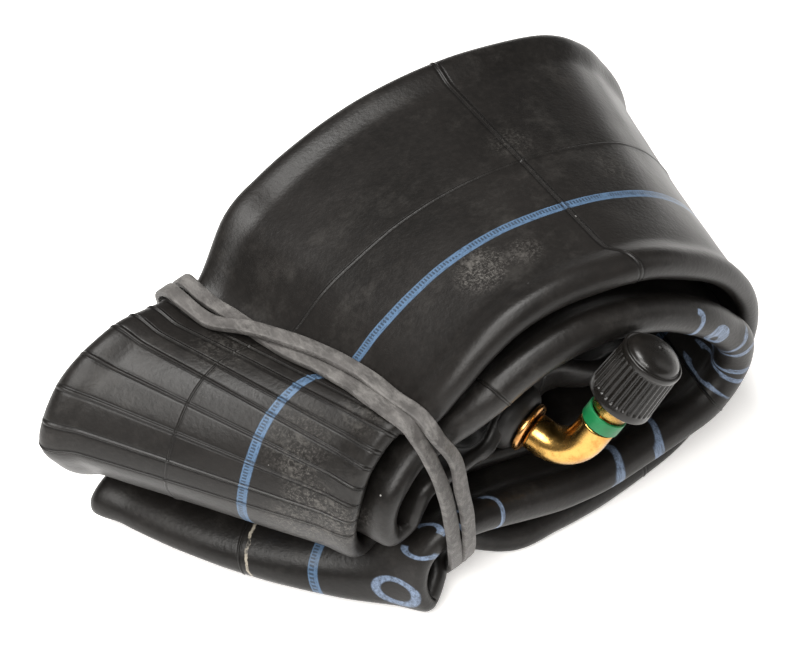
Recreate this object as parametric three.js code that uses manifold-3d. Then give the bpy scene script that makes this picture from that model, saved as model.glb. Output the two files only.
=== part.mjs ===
// A small bicycle inner tube, flattened, folded double, rolled up and held by a doubled rubber band.
// Its bent brass valve stands in the mouth of the roll, with a screw cap and a spring-loaded core.
// Millimetres, +Z up, near side of the roll towards -Y. The tube rests on z = 0.
import * as THREE from 'three';
import { mergeVertices } from 'three/addons/utils/BufferGeometryUtils.js';
import Module from 'manifold-3d';

const wasm = await Module();
wasm.setup();

const V = (x, y, z) => new THREE.Vector3(x, y, z);
const vec = ([x, y, z]) => V(x, y, z);

// ---------- materials ----------

const paint = (color, roughness, metalness) => new THREE.MeshStandardMaterial({ color, roughness, metalness });
const materials = {
  butyl: paint(0x23211f, 0.55, 0),
  patch: paint(0x1b1a19, 0.6, 0),
  elastic: paint(0x55524e, 0.8, 0),
  brass: paint(0xc9973f, 0.3, 1),
  copper: paint(0xb8743c, 0.3, 1),
  green: paint(0x1f7a45, 0.6, 0),
  plastic: paint(0x262424, 0.45, 0),
  seal: paint(0x2e2a28, 0.7, 0),
  steel: paint(0xb9bbbd, 0.3, 1),
};

// ---------- solids ----------

// Shared-vertex solid from any closed geometry.
function solid(geometry) {
  const bare = geometry.clone();
  bare.deleteAttribute('normal');
  bare.deleteAttribute('uv');
  const merged = mergeVertices(bare, 1e-5);
  return new wasm.Manifold(new wasm.Mesh({
    numProp: 3,
    vertProperties: new Float32Array(merged.attributes.position.array),
    triVerts: new Uint32Array(merged.index.array),
  }));
}

// Geometry back from a solid.
function geometryOf(body) {
  const mesh = body.getMesh();
  const geometry = new THREE.BufferGeometry();
  geometry.setAttribute('position', new THREE.BufferAttribute(new Float32Array(mesh.vertProperties), 3));
  geometry.setIndex(new THREE.BufferAttribute(new Uint32Array(mesh.triVerts), 1));
  return geometry;
}

// Skin over a row of rings with equal point counts: joined end to end, or capped at both ends.
function loft(rings, joined) {
  const count = rings[0].length;
  const positions = rings.flat().flatMap((p) => [p.x, p.y, p.z]);
  const index = [];
  const last = joined ? rings.length : rings.length - 1;
  for (let i = 0; i < last; i += 1) {
    const here = i * count;
    const next = ((i + 1) % rings.length) * count;
    for (let j = 0; j < count; j += 1) {
      const k = (j + 1) % count;
      index.push(here + j, here + k, next + k);
      index.push(here + j, next + k, next + j);
    }
  }
  if (!joined) {
    const end = (rings.length - 1) * count;
    for (let j = 1; j < count - 1; j += 1) {
      index.push(0, j + 1, j);
      index.push(end, end + j, end + j + 1);
    }
  }
  const geometry = new THREE.BufferGeometry();
  geometry.setAttribute('position', new THREE.Float32BufferAttribute(positions, 3));
  geometry.setIndex(index);
  if (signedVolume(geometry) < 0) {
    for (let t = 0; t < index.length; t += 3) [index[t], index[t + 1]] = [index[t + 1], index[t]];
    geometry.setIndex(index);
  }
  return geometry;
}

function signedVolume(geometry) {
  const at = (i) => V().fromBufferAttribute(geometry.attributes.position, geometry.index.getX(i));
  let sum = 0;
  for (let t = 0; t < geometry.index.count; t += 3) sum += at(t).dot(at(t + 1).cross(at(t + 2)));
  return sum / 6;
}

// Turned piece standing on +Z: profile points are [radius, height].
const AROUND = 24;
function turned(profile, segments = AROUND) {
  const points = profile.map(([r, z]) => new THREE.Vector2(r, z));
  return solid(new THREE.LatheGeometry([...points, points[0]], segments).rotateX(Math.PI / 2));
}
const rod = (r, from, to, segments) => turned([[0, from], [r, from], [r, to], [0, to]], segments);
const ring = (inner, outer, from, to) => turned([[inner, from], [outer, from], [outer, to], [inner, to]]);

// ---------- folded tube ----------

// A station is one ruling of the flattened tube: its near edge, its far edge and the radius that
// the folded edge keeps at each. A bow moves the middle off the straight line; across lists the
// three points between the edges where the tube is bent over.
function station(near, far, nearEdge, farEdge, { bow, across } = {}) {
  const a = vec(near);
  const b = vec(far);
  const shift = vec(bow ?? [0, 0, 0]);
  const share = [[0.25, 0.75], [0.5, 1], [0.75, 0.75]];
  const between = across
    ? across.map(vec)
    : share.map(([t, lift]) => a.clone().lerp(b, t).addScaledVector(shift, lift));
  return { points: [a, ...between, b], nearEdge, farEdge };
}

const lowerStrand = [
  station([-14.2, -23.8, 2.6], [-47.9, 18.4, 5.6], 1.5, 1.6, { bow: [-2.5, -2, -0.7] }),
  station([-11.6, -22.3, 5.2], [-43.4, 20.3, 2.4], 1.5, 1.6, { bow: [-2, -1, -1.2] }),
  station([-9.7, -19.8, 6.8], [-36.1, 23.7, 3.2], 1.8, 1.7),
  station([-4.3, -18.5, 4.9], [-26.1, 27.7, 3.2], 2.2, 1.7),
  station([2.4, -21.1, 2.5], [-12.1, 31.2, 1.9], 2.5, 2.2),
  station([8.9, -21.3, 2.6], [1.9, 32.7, 1.9], 2.6, 2.2),
  station([16.4, -20.9, 2.6], [13.9, 32.7, 1.9], 2.6, 2.2),
  station([23.9, -19.7, 2.6], [24.4, 32.7, 1.9], 2.5, 2.2),
  station([31.9, -18.3, 3.4], [34.9, 33.2, 2.4], 2, 2.2),
];
const rightTurn = [
  station([39.4, -16.6, 6.5], [45.4, 33.2, 5.1], 1.7, 2.2),
  station([44.3, -16.2, 12], [51.9, 32.7, 11.5], 1.6, 2.2),
  station([45.7, -16.9, 18.3], [53.5, 32.7, 19.3], 1.6, 2.2, { bow: [-0.5, 0, 0] }),
  station([44.7, -18.1, 25], [52.3, 32.7, 27.3], 1.7, 2.2, { bow: [-0.5, 0, 0] }),
  station([42, -19.1, 31.3], [49.3, 33, 33.6], 1.8, 2.2, { bow: [-0.5, 0, -0.3] }),
  station([37.2, -20.3, 37.9], [45.5, 32.7, 38.9], 2, 2.2, { bow: [-0.4, 0, -0.4] }),
  station([30.8, -21.3, 43.4], [39.2, 32.9, 43], 2.2, 2.2),
];
const topStrand = [
  station([23.7, -21.7, 47.9], [26.6, 33.3, 45.4], 2.3, 2.2),
  station([15.4, -21.3, 49.5], [15.9, 33.5, 45.6], 2.4, 2.2),
  station([8.7, -20.8, 49.5], [6.9, 33.7, 44.3], 2.4, 2.2),
  station([2.4, -20.7, 48.1], [-1.6, 33.1, 42.3], 2.4, 2.2),
  station([-3.1, -21, 45.3], [-9.6, 31.9, 40], 2.3, 2.2),
  station([-7.9, -21.3, 41.5], [-16.2, 29.7, 38.2], 2.1, 2.1),
  station([-12.1, -20.6, 37.1], [-24.3, 25.7, 31], 1.8, 1.9),
];
const outerRoll = [
  station([-16.7, -19.1, 36.5], [-33.1, 23.2, 33.2], 1.6, 2),
  station([-21.3, -19.4, 32], [-40.6, 21.7, 34.7], 1.5, 2),
  station([-23.2, -19.5, 27], [-49.4, 19.9, 31.9], 1.5, 2),
  station([-24.4, -19.5, 22], [-54.4, 18.4, 25.2], 1.5, 2),
  station([-24, -18.8, 16.8], [-53.1, 18.9, 20], 1.5, 2),
  station([-21.8, -17.7, 13.5], [-48.2, 21, 13.2], 1.5, 2),
];
const innerLower = [
  station([-18.3, -16.5, 13.7], [-39.1, 24.7, 11.3], 1.3, 1.6),
  station([-14.6, -16.2, 15.6], [-29.1, 28.2, 11.7], 1.3, 1.6, { bow: [0, 0, -1] }),
  station([-10.6, -16.3, 17.8], [-18.1, 31.7, 12.1], 1.3, 1.6, { bow: [0, 0, -1.5] }),
  station([-5.1, -16.3, 18.5], [-7.1, 32.7, 12.3], 1.3, 1.6, { bow: [0, 0, -1.8] }),
  station([1.9, -15.8, 16.5], [3.9, 33.7, 12.3], 1.3, 1.6, { bow: [0, 0, -1.2] }),
  station([9.9, -15.3, 14.1], [13.9, 33.7, 12.3], 1.3, 1.6),
  station([18.9, -14.3, 13.3], [22.9, 33.7, 12.3], 1.3, 1.6),
];
const valveFold = [
  station([27.9, -13.8, 13.5], [30.9, 32.7, 12.5], 1.4, 1.6),
  station([31.5, -13.3, 16.5], [34.9, 32.7, 15.3], 1.5, 1.6),
  station([28.4, -13.3, 19.7], [30.9, 32.7, 17.9], 1.4, 1.6),
  station([21.4, -12.3, 22.3], [23.9, 31.7, 17.4], 1.4, 1.6,
    { across: [[20.9, -10.8, 18.9], [21.4, -4.3, 17.3], [22.4, 10.7, 17.1]] }),
  station([13.8, -11.9, 26.7], [14.4, 31.2, 17.1], 1.2, 1.6,
    { across: [[13.4, -10.7, 21.9], [13.5, -6.8, 18.3], [14.1, 8.7, 17.1]] }),
  station([3.9, -16.3, 30.7], [5.9, 30.7, 17], 1.1, 1.6,
    { across: [[3.4, -15.1, 25.3], [2.8, -13.6, 19.8], [4.9, 5.7, 17.7]] }),
  station([-1.7, -19.1, 25.8], [-4.1, 30.2, 17], 1.2, 1.6,
    { across: [[-2.7, -17.5, 22.7], [-2.5, -9.3, 20.8], [-3.1, 8.7, 17.9]] }),
];
const innerRoll = [
  station([-6.7, -20.4, 24.1], [-15.1, 30.7, 16.5], 1.4, 1.6,
    { across: [[-7.9, -13.3, 22.3], [-9.6, -4.3, 20.1], [-12.6, 12.7, 17.3]] }),
  station([-12.3, -21.1, 23.4], [-26.1, 27.7, 16.1], 1.4, 1.6),
  station([-14.4, -21.3, 20.5], [-36.1, 24.7, 15.3], 1.3, 1.6),
  station([-15.7, -21.3, 17.9], [-44.1, 21.2, 15.9], 1.3, 1.6),
  station([-18.6, -21.7, 17.9], [-48.1, 19.3, 20.1], 1.7, 1.6),
  station([-19.4, -21.9, 21.9], [-46.3, 19.7, 25.7], 1.8, 1.6),
  station([-18.1, -21.8, 25.9], [-39.6, 21.2, 29.1], 1.9, 1.7),
  station([-13.9, -20.7, 29.5], [-32.1, 23, 28.6], 2, 1.7),
];
const innerTop = [
  station([-10.3, -21.7, 32.1], [-25, 24.5, 26.2], 2.2, 1.8),
  station([-6.8, -23.1, 35.1], [-19.1, 26.9, 29.4], 2.6, 1.8),
  station([-3.1, -24.1, 38.1], [-12.6, 29.3, 33.6], 2.8, 1.9),
  station([1.1, -24.1, 40.3], [-5.1, 31.1, 36.5], 2.8, 1.9),
  station([6.1, -24.1, 41.9], [3.9, 32.2, 38.9], 2.8, 2),
  station([11.9, -24.1, 42.5], [12.9, 32.2, 40.4], 2.8, 2),
  station([18.9, -24.1, 41.3], [22.7, 32.2, 40.6], 2.8, 2.1),
  station([25.9, -24.1, 38.3], [31.9, 32, 38.5], 2.8, 2.1),
];
const innerTurn = [
  station([32.6, -24.1, 33.3], [38.6, 31.7, 34.8], 2.8, 2.1),
  station([37.2, -23.2, 27.6], [44.2, 31.2, 30.3], 2.8, 2.1),
  station([39.8, -22.7, 23.4], [47.8, 31, 25], 2.8, 2.1),
  station([40.2, -22.1, 18.8], [48.6, 31, 18.7], 2.8, 2.1),
  station([38.2, -22.2, 15.3], [46.2, 31.2, 13], 2.8, 2.1),
  station([34.5, -22.7, 12.9], [41, 31.7, 9.1], 2.8, 2.1),
];
const innerBottom = [
  station([29.1, -23.1, 11.8], [34.4, 31.7, 7.4], 2.8, 2.1),
  station([22.9, -23.5, 10.9], [23.9, 31.7, 7], 2.8, 2.1),
  station([15.9, -24.1, 10.4], [13.9, 31.7, 6.9], 2.8, 2.1),
  station([8.9, -24.1, 10.8], [3.9, 31.2, 6.9], 2.8, 2.1),
  station([2.4, -24.1, 12.7], [-8.1, 30.2, 6.9], 2.8, 2.1),
  station([-4.1, -23.9, 14.5], [-20.1, 28.7, 7.5], 2.5, 1.9, { bow: [0, 0, -1] }),
  station([-10.1, -23.7, 14.8], [-31.1, 25.2, 7.7], 2, 1.8, { bow: [0, 0, -1.5] }),
  station([-14.4, -23.5, 11.8], [-39.1, 22.2, 7.3], 1.6, 1.7, { bow: [0, 0, -1.2] }),
  station([-15.6, -23.6, 6.8], [-45.6, 19.1, 7.9], 1.5, 1.6, { bow: [-2, -1.5, -1] }),
];
const stations = [
  ...lowerStrand,
  ...rightTurn,
  ...topStrand,
  ...outerRoll,
  ...innerLower,
  ...valveFold,
  ...innerRoll,
  ...innerTop,
  ...innerTurn,
  ...innerBottom,
];

const FLAT_HALF = 1.05;  // half the thickness where the tube is pressed flat
const WALL = 0.85;
const TAPER = 4.5;  // length over which a folded edge thins out to the flat part
const STEPS_PER_STATION = 2;

const lengthwise = [0, 1, 2, 3, 4].map((k) => new THREE.CatmullRomCurve3(
  stations.map((row) => row.points[k]), true, 'catmullrom', 0.5));
const edgeRadius = (key) => {
  const radii = stations.map((row) => V(row[key], 0, 0));
  return new THREE.CatmullRomCurve3(radii, true, 'catmullrom', 0.5);
};
const nearRadius = edgeRadius('nearEdge');
const farRadius = edgeRadius('farEdge');

// Curve across the tube at share t of the way round it.
const acrossAt = (t) => new THREE.CatmullRomCurve3(
  lengthwise.map((curve) => curve.getPoint(t)), false, 'catmullrom', 0.5);

// Half thickness of the closed edge at a distance from its tip, thinning to the flat part.
function edgeHalf(distance, radius, flat) {
  if (distance < radius) return Math.sqrt(radius ** 2 - (radius - distance) ** 2);
  const share = Math.min((distance - radius) / TAPER, 1);
  return radius + (flat - radius) * (0.5 - 0.5 * Math.cos(Math.PI * share));
}

// Rings of points round the tube: on its outside with no inset, or on its inside with one.
// roundness lists where points sit on a folded edge, as shares of its radius from the tip.
function tubeRings(roundness, inset) {
  const total = stations.length * STEPS_PER_STATION;
  const rings = [];
  for (let i = 0; i < total; i += 1) {
    const t = i / total;
    const line = acrossAt(t);
    const before = acrossAt((i - 0.5 + total) / total % 1);
    const after = acrossAt((i + 0.5) / total);
    const width = line.getLength();
    const flat = FLAT_HALF - inset;
    const near = nearRadius.getPoint(t).x - inset;
    const far = farRadius.getPoint(t).x - inset;
    const fromTip = (radius) => [...roundness.map((share) => share * radius), radius + TAPER];
    const places = [
      ...fromTip(near).map((d) => [inset + d, edgeHalf(d, near, flat)]),
      [width / 2, flat],
      ...fromTip(far).reverse().map((d) => [width - inset - d, edgeHalf(d, far, flat)]),
    ];
    const upper = [];
    const lower = [];
    for (const [distance, half] of places) {
      const u = distance / width;
      const along = after.getPointAt(u).sub(before.getPointAt(u));
      const out = along.cross(line.getTangentAt(u)).normalize();
      upper.push(line.getPointAt(u).addScaledVector(out, half));
      lower.push(line.getPointAt(u).addScaledVector(out, -half));
    }
    const nearTip = line.getPointAt(inset / width);
    const farTip = line.getPointAt(1 - inset / width);
    rings.push([nearTip, ...upper, farTip, ...lower.reverse()]);
  }
  return rings;
}

const tubeOuter = solid(loft(tubeRings([0.3, 1], 0), true));
const tubeInner = solid(loft(tubeRings([1], WALL), true));

// ---------- valve placement ----------

// The valve's own frame: origin at the washer's centre, +Z out of the tube, and the upper leg
// leaning over in its XZ plane. The upper leg's frame starts where the two legs' axes meet.
const washerCentre = V(5.1, -18.8, 24.3);
const lowerAxis = V(0.382, -0.888, -0.255).normalize();
const upperAxis = V(0.518, -0.177, 0.837).normalize();
const LOWER_LEG = 7.4;
const bendAngle = lowerAxis.angleTo(upperAxis);
const sideways = upperAxis.clone().addScaledVector(lowerAxis, -upperAxis.dot(lowerAxis)).normalize();
const valveFrame = new THREE.Matrix4()
  .makeBasis(sideways, lowerAxis.clone().cross(sideways), lowerAxis)
  .setPosition(washerCentre);
const legFrame = new THREE.Matrix4().makeRotationY(bendAngle).setPosition(0, 0, LOWER_LEG);
const upperFrame = valveFrame.clone().multiply(legFrame);

const FOOT_HOLE = 2.4;
const TUBE_DEPTH = 4.2;  // from the washer's centre down to the middle of the flattened tube
const moved = (body, matrix) => body.transform(matrix.elements);

const FLOOR = 200;
const below = solid(new THREE.BoxGeometry(FLOOR, FLOOR, FLOOR).translate(0, 0, -FLOOR / 2));
const tubeBody = tubeOuter
  .subtract(tubeInner)
  .subtract(moved(rod(FOOT_HOLE, -TUBE_DEPTH, 0), valveFrame))
  .subtract(below);

// ---------- valve ----------

const GAP = 0.3;
const PATCH_RADIUS = 5.2;
const PATCH_TOP = -0.7;
const FLANGE_RADIUS = 3.6;
const FLANGE_TOP = -1.4;
const FLANGE_FOOT = -1.9;
const STEM_RADIUS = 2.8;
const BEND_RADIUS = 5.5;
const BORE = 1.2;

const patch = moved(
  rod(PATCH_RADIUS, -TUBE_DEPTH, PATCH_TOP)
    .subtract(rod(FOOT_HOLE, -TUBE_DEPTH - 1, 0))
    .subtract(rod(FLANGE_RADIUS + GAP, -TUBE_DEPTH - 1, FLANGE_TOP + GAP)),
  valveFrame,
)
  .subtract(tubeOuter)
  .subtract(tubeOuter.translate(lowerAxis.clone().multiplyScalar(GAP).toArray()));

// Heights along the upper leg, from the corner of the two axes.
const bendReach = BEND_RADIUS * Math.tan(bendAngle / 2);
const RING_FROM = 7.6;
const RING_TO = 9.8;
const RING_GROOVE = 2.35;
const THREAD_FROM = 12;
const THREAD_RADIUS = 3.75;
const STEM_END = 19.4;
const CORE_BORE = 1.9;
const CORE_THREAD_FROM = 13.2;
const CORE_THREAD_RADIUS = 2.35;

// Point and directions at a distance along the stem's bent axis, from the washer's centre.
const bendStart = LOWER_LEG - bendReach;
const bendEnd = bendStart + BEND_RADIUS * bendAngle;
function alongStem(distance) {
  const angle = THREE.MathUtils.clamp((distance - bendStart) / BEND_RADIUS, 0, bendAngle);
  const ahead = V(Math.sin(angle), 0, Math.cos(angle));
  const side = V(Math.cos(angle), 0, -Math.sin(angle));
  const point = V(BEND_RADIUS * (1 - Math.cos(angle)), 0, BEND_RADIUS * Math.sin(angle))
    .add(V(0, 0, Math.min(distance, bendStart)))
    .addScaledVector(ahead, Math.max(distance - bendEnd, 0));
  return { point, side };
}
const onUpperLeg = (height) => bendEnd + height - bendReach;

// Round rod along the stem's bent axis: the profile's points are [distance, radius].
function bentRod(profile, segments) {
  const rings = profile.map(([distance, radius]) => {
    const { point, side } = alongStem(distance);
    return Array.from({ length: segments }, (_, k) => {
      const around = k / segments * 2 * Math.PI;
      return point.clone()
        .addScaledVector(side, radius * Math.cos(around))
        .addScaledVector(V(0, 1, 0), radius * Math.sin(around));
    });
  });
  return solid(loft(rings, false));
}
const BEND_STEPS = 6;
const bendPoints = (radius) => Array.from({ length: BEND_STEPS + 1 }, (_, k) => (
  [bendStart + k / BEND_STEPS * (bendEnd - bendStart), radius]));

const stemOuter = bentRod([
  [-3.9, FOOT_HOLE - GAP], [FLANGE_FOOT, FOOT_HOLE - GAP], [FLANGE_FOOT, FLANGE_RADIUS],
  [FLANGE_TOP, FLANGE_RADIUS], [FLANGE_TOP, FOOT_HOLE - GAP], [0.7, FOOT_HOLE - GAP],
  [0.7, STEM_RADIUS],
  ...bendPoints(STEM_RADIUS),
  [onUpperLeg(RING_FROM - GAP), STEM_RADIUS], [onUpperLeg(RING_FROM - GAP), RING_GROOVE],
  [onUpperLeg(RING_TO + GAP), RING_GROOVE], [onUpperLeg(RING_TO + GAP), STEM_RADIUS],
  [onUpperLeg(THREAD_FROM - 0.2), STEM_RADIUS],
  [onUpperLeg(THREAD_FROM), THREAD_RADIUS], [onUpperLeg(STEM_END - 0.6), THREAD_RADIUS],
  [onUpperLeg(STEM_END), THREAD_RADIUS - 0.6],
], AROUND);
const stemInner = bentRod([
  [-5, BORE],
  ...bendPoints(BORE),
  [onUpperLeg(5.1), BORE], [onUpperLeg(5.6), CORE_BORE],
  [onUpperLeg(CORE_THREAD_FROM), CORE_BORE], [onUpperLeg(CORE_THREAD_FROM), CORE_THREAD_RADIUS],
  [onUpperLeg(STEM_END + 1), CORE_THREAD_RADIUS],
], AROUND);
const stem = moved(stemOuter.subtract(stemInner), valveFrame);

const washer = moved(ring(FOOT_HOLE, 3.9, -0.4, 0.4), valveFrame);
const colourRing = moved(ring(RING_GROOVE + GAP, STEM_RADIUS + 0.25, RING_FROM, RING_TO), upperFrame);

const CAP_FROM = 12.6;
const CAP_BASE = 5.05;
const CAP_TIP = 4.7;
const CAP_BORE = THREAD_RADIUS + GAP;
const cap = moved(turned([
  [CAP_BORE, CAP_FROM], [CAP_BASE, CAP_FROM], [CAP_BASE, CAP_FROM + 1.2],
  [CAP_BASE - 0.1, CAP_FROM + 1.4], [CAP_TIP, 20.7], [CAP_TIP, 21.4],
  [4, 22.3], [2.4, 23], [0, 23.3],
  [0, 20.6], [CAP_BORE, 20.6],
]), upperFrame);
const capGasket = moved(rod(CAP_BORE - 0.25, STEM_END + GAP, STEM_END + GAP + 0.6), upperFrame);

// ---------- valve core ----------

const barrel = moved(turned([
  [0.65, 8.4], [1.4, 8.4], [1.4, 14.2], [2.1, 14.2], [2.1, 18.8],
  [1.05, 18.8], [1.05, 9.2], [0.65, 9.2],
], 24), upperFrame);
const coreSeal = moved(turned([[1.5, 10.6], [1.8, 10.6], [1.7, 12.4], [1.5, 12.4]], 24), upperFrame);
const pin = moved(turned([
  [0, 6.8], [0.8, 6.8], [0.8, 7.2], [0.42, 7.2], [0.42, 14.6], [0.85, 14.6], [0.85, 15],
  [0.42, 15], [0.42, 19], [0, 19],
], 16), upperFrame);
const cup = moved(turned([[0.5, 7.3], [1.3, 7.3], [1.3, 8.1], [0.5, 8.1]], 16), upperFrame);

// Coil spring round the pin, from the barrel's lip up to the pin's collar.
function coil(radius, wire, from, to, turns) {
  const STEPS_PER_TURN = 12;
  const SIDES = 5;
  const rings = [];
  for (let i = 0; i <= turns * STEPS_PER_TURN; i += 1) {
    const angle = i / STEPS_PER_TURN * 2 * Math.PI;
    const height = from + (to - from) * i / (turns * STEPS_PER_TURN);
    const outward = V(Math.cos(angle), Math.sin(angle), 0);
    rings.push(Array.from({ length: SIDES }, (_, k) => {
      const around = k / SIDES * 2 * Math.PI;
      return outward.clone().multiplyScalar(radius + wire * Math.cos(around))
        .setZ(height + wire * Math.sin(around));
    }));
  }
  return solid(loft(rings, false));
}
const spring = moved(coil(0.74, 0.12, 9.4, 14.4, 5), upperFrame);

// ---------- rubber band ----------

// One closed band, doubled: it goes round the roll's waist twice and crosses itself on top.
const BAND_WIDTH = 2.4;
const BAND_THICKNESS = 1;
const bandRoute = [
  // first turn, far side to near side over the top, down, under and up again
  [-29, 20.4, 35.5], [-27.6, 14.7, 35.5], [-24.3, 9.5, 36.9], [-20.6, 3.5, 37.5],
  [-18.3, -1.7, 38.2], [-16, -8.8, 38.8], [-15, -15.1, 39.2], [-13.9, -20.8, 39.6],
  [-13.3, -23.7, 37.8], [-11.1, -24.7, 32.7], [-10.6, -25.5, 26.8], [-9.9, -25.7, 21.3],
  [-9.6, -25.6, 15.2], [-8.8, -23.7, 10], [-8.2, -20.7, 5.4], [-7.4, -18.4, 2.2],
  [-7.6, -15.7, 0.9], [-8.8, -12.9, 0.8], [-15.8, 4.7, 0.8], [-23.5, 23.7, 0.7],
  [-24.9, 28.1, 0.9], [-25.5, 30.3, 2.6], [-24.9, 31.1, 11.5], [-24.1, 30.4, 21.5],
  [-25, 28.9, 27.7], [-25.7, 27.9, 31.2],
  // second turn, under the first where they cross
  [-26, 24.9, 34.1], [-25.4, 20.3, 34.1], [-24, 14.7, 34.5], [-23, 9.2, 35.4],
  [-21.8, 3.7, 36.1], [-19.3, -3.9, 37.2], [-18, -8.9, 37.7], [-17.2, -15, 38.8],
  [-16.2, -20.5, 39.2], [-15.4, -22.4, 37], [-14.3, -24.1, 33], [-13.2, -25.1, 27.5],
  [-12.6, -25.7, 21.5], [-12.1, -25.7, 15.5], [-11, -24.1, 10.5], [-9.7, -22, 6.8],
  [-9.4, -19.2, 2.8], [-10.6, -16.3, 0.9], [-11.9, -12.9, 0.8], [-18.9, 4.7, 0.8],
  [-26.7, 23.5, 0.7], [-28.2, 27.1, 0.9], [-28.8, 29.9, 2.8], [-28.5, 30.7, 11.5],
  [-27.9, 29.9, 21.5], [-28.6, 27.7, 28.6], [-29.2, 26.5, 32.4], [-29.3, 23.8, 35],
].map(vec);
// inside the folds, along the strands' common width; the strip's flat side faces away from it
const waist = new THREE.Line3(V(-12.5, -13.5, 19.5), V(-24.2, 18.5, 18.5));
const ALONG_STRANDS = V(-0.94, -0.342, 0);

function bandLoop() {
  const route = new THREE.CatmullRomCurve3(bandRoute, true, 'centripetal');
  const steps = bandRoute.length * 2;
  const rings = [];
  for (let i = 0; i < steps; i += 1) {
    const t = i / steps;
    const centre = route.getPoint(t);
    const away = centre.clone().sub(waist.closestPointToPoint(centre, true, V()));
    away.addScaledVector(ALONG_STRANDS, -away.dot(ALONG_STRANDS));
    const across = route.getTangent(t).cross(away).normalize();
    const out = across.clone().cross(route.getTangent(t)).normalize();
    const corner = (a, b) => centre.clone()
      .addScaledVector(across, a * BAND_WIDTH / 2)
      .addScaledVector(out, b * BAND_THICKNESS / 2);
    rings.push([corner(-1, -1), corner(1, -1), corner(1, 1), corner(-1, 1)]);
  }
  return solid(loft(rings, true));
}
const band = bandLoop();

// ---------- assembly ----------

const parts = [
  ['tube_body', tubeBody, materials.butyl],
  ['valve_patch', patch, materials.patch],
  ['valve_stem', stem, materials.brass],
  ['valve_washer', washer, materials.copper],
  ['colour_ring', colourRing, materials.green],
  ['valve_cap', cap, materials.plastic],
  ['cap_gasket', capGasket, materials.seal],
  ['core_barrel', barrel, materials.brass],
  ['core_seal', coreSeal, materials.seal],
  ['core_pin', pin, materials.steel],
  ['core_cup', cup, materials.seal],
  ['core_spring', spring, materials.steel],
  ['rubber_band', band, materials.elastic],
];

const innerTube = new THREE.Group();
for (const [name, body, material] of parts) {
  const mesh = new THREE.Mesh(geometryOf(body), material);
  mesh.name = name;
  innerTube.add(mesh);
}

export default innerTube;
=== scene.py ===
"""Looks for a small bicycle inner tube, folded, rolled and held by a doubled rubber band.

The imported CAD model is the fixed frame. The tube, the valve with its core and cap, and the band
are rebuilt here at full detail, from the same stations and routes that the CAD uses. Lengths in
the lists are in millimetres, and every mesh is written in metres.
"""
import math

import bpy
import numpy as np
from mathutils import Matrix, Vector


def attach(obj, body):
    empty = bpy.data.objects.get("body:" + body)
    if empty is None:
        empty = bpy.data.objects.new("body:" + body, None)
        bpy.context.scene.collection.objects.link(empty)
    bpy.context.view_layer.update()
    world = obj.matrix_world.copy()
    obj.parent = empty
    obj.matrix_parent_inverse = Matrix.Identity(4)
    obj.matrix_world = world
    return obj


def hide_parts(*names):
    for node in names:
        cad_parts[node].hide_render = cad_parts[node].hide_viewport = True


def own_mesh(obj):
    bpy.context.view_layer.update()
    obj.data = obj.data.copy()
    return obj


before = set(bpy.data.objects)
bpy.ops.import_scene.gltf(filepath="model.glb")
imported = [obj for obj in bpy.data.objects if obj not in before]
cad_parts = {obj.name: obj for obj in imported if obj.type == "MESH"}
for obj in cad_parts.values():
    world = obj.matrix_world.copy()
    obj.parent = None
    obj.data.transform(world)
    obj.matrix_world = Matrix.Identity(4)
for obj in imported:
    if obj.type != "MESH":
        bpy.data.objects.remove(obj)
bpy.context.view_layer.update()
MM = 0.001


# ---------- curves ----------

def catmull_rom(points, t, closed):
    """Uniform Catmull-Rom through rows of points; t counts points from the first."""
    points = np.asarray(points, float)
    count = len(points)
    if closed:
        first = np.floor(t).astype(int)
        rows = [points[(first + k) % count] for k in (-1, 0, 1, 2)]
    else:
        first = np.clip(np.floor(t).astype(int), 0, count - 2)
        padded = np.concatenate([[2 * points[0] - points[1]], points, [2 * points[-1] - points[-2]]])
        rows = [padded[first + k] for k in (0, 1, 2, 3)]
    u = (t - first).reshape(-1, *[1] * (points.ndim - 1))
    a, b, c, d = rows
    return 0.5 * (2 * b + (c - a) * u + (2 * a - 5 * b + 4 * c - d) * u**2 + (3 * b - a - 3 * c + d) * u**3)


def unit(rows):
    return rows / np.linalg.norm(rows, axis=-1, keepdims=True)


# ---------- meshes ----------

def grid_mesh(name, grid, joined=True, uv=None):
    """Quads over a grid of points in millimetres, wrapped round each row and joined end to end."""
    rows, columns = grid.shape[:2]
    i = np.arange(rows if joined else rows - 1)[:, None]
    j = np.arange(columns)[None, :]
    down = (i + 1) % rows
    right = (j + 1) % columns
    faces = np.stack([i * columns + j, i * columns + right, down * columns + right, down * columns + j], -1)
    faces = faces.reshape(-1, 4)
    mesh = bpy.data.meshes.new(name)
    mesh.vertices.add(rows * columns)
    mesh.vertices.foreach_set("co", (grid.reshape(-1, 3) * MM).ravel())
    mesh.loops.add(faces.size)
    mesh.loops.foreach_set("vertex_index", faces.ravel())
    mesh.polygons.add(len(faces))
    mesh.polygons.foreach_set("loop_start", np.arange(0, faces.size, 4))
    mesh.polygons.foreach_set("use_smooth", np.ones(len(faces), bool))
    mesh.update(calc_edges=True)
    if uv is not None:
        u, left, beyond = uv
        u_here, u_next = u[:-1, None] + 0 * j, u[1:, None] + 0 * j
        corner_u = np.stack([u_here, u_here, u_next, u_next], -1)
        corner_v = np.stack([left, beyond, np.roll(beyond, -1, axis=0), np.roll(left, -1, axis=0)], -1)
        layer = mesh.uv_layers.new(name="Along and across")
        layer.data.foreach_set("uv", np.stack([corner_u, corner_v], -1).ravel())
    mesh.validate()
    piece = bpy.data.objects.new(name, mesh)
    bpy.context.scene.collection.objects.link(piece)
    return piece


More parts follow.
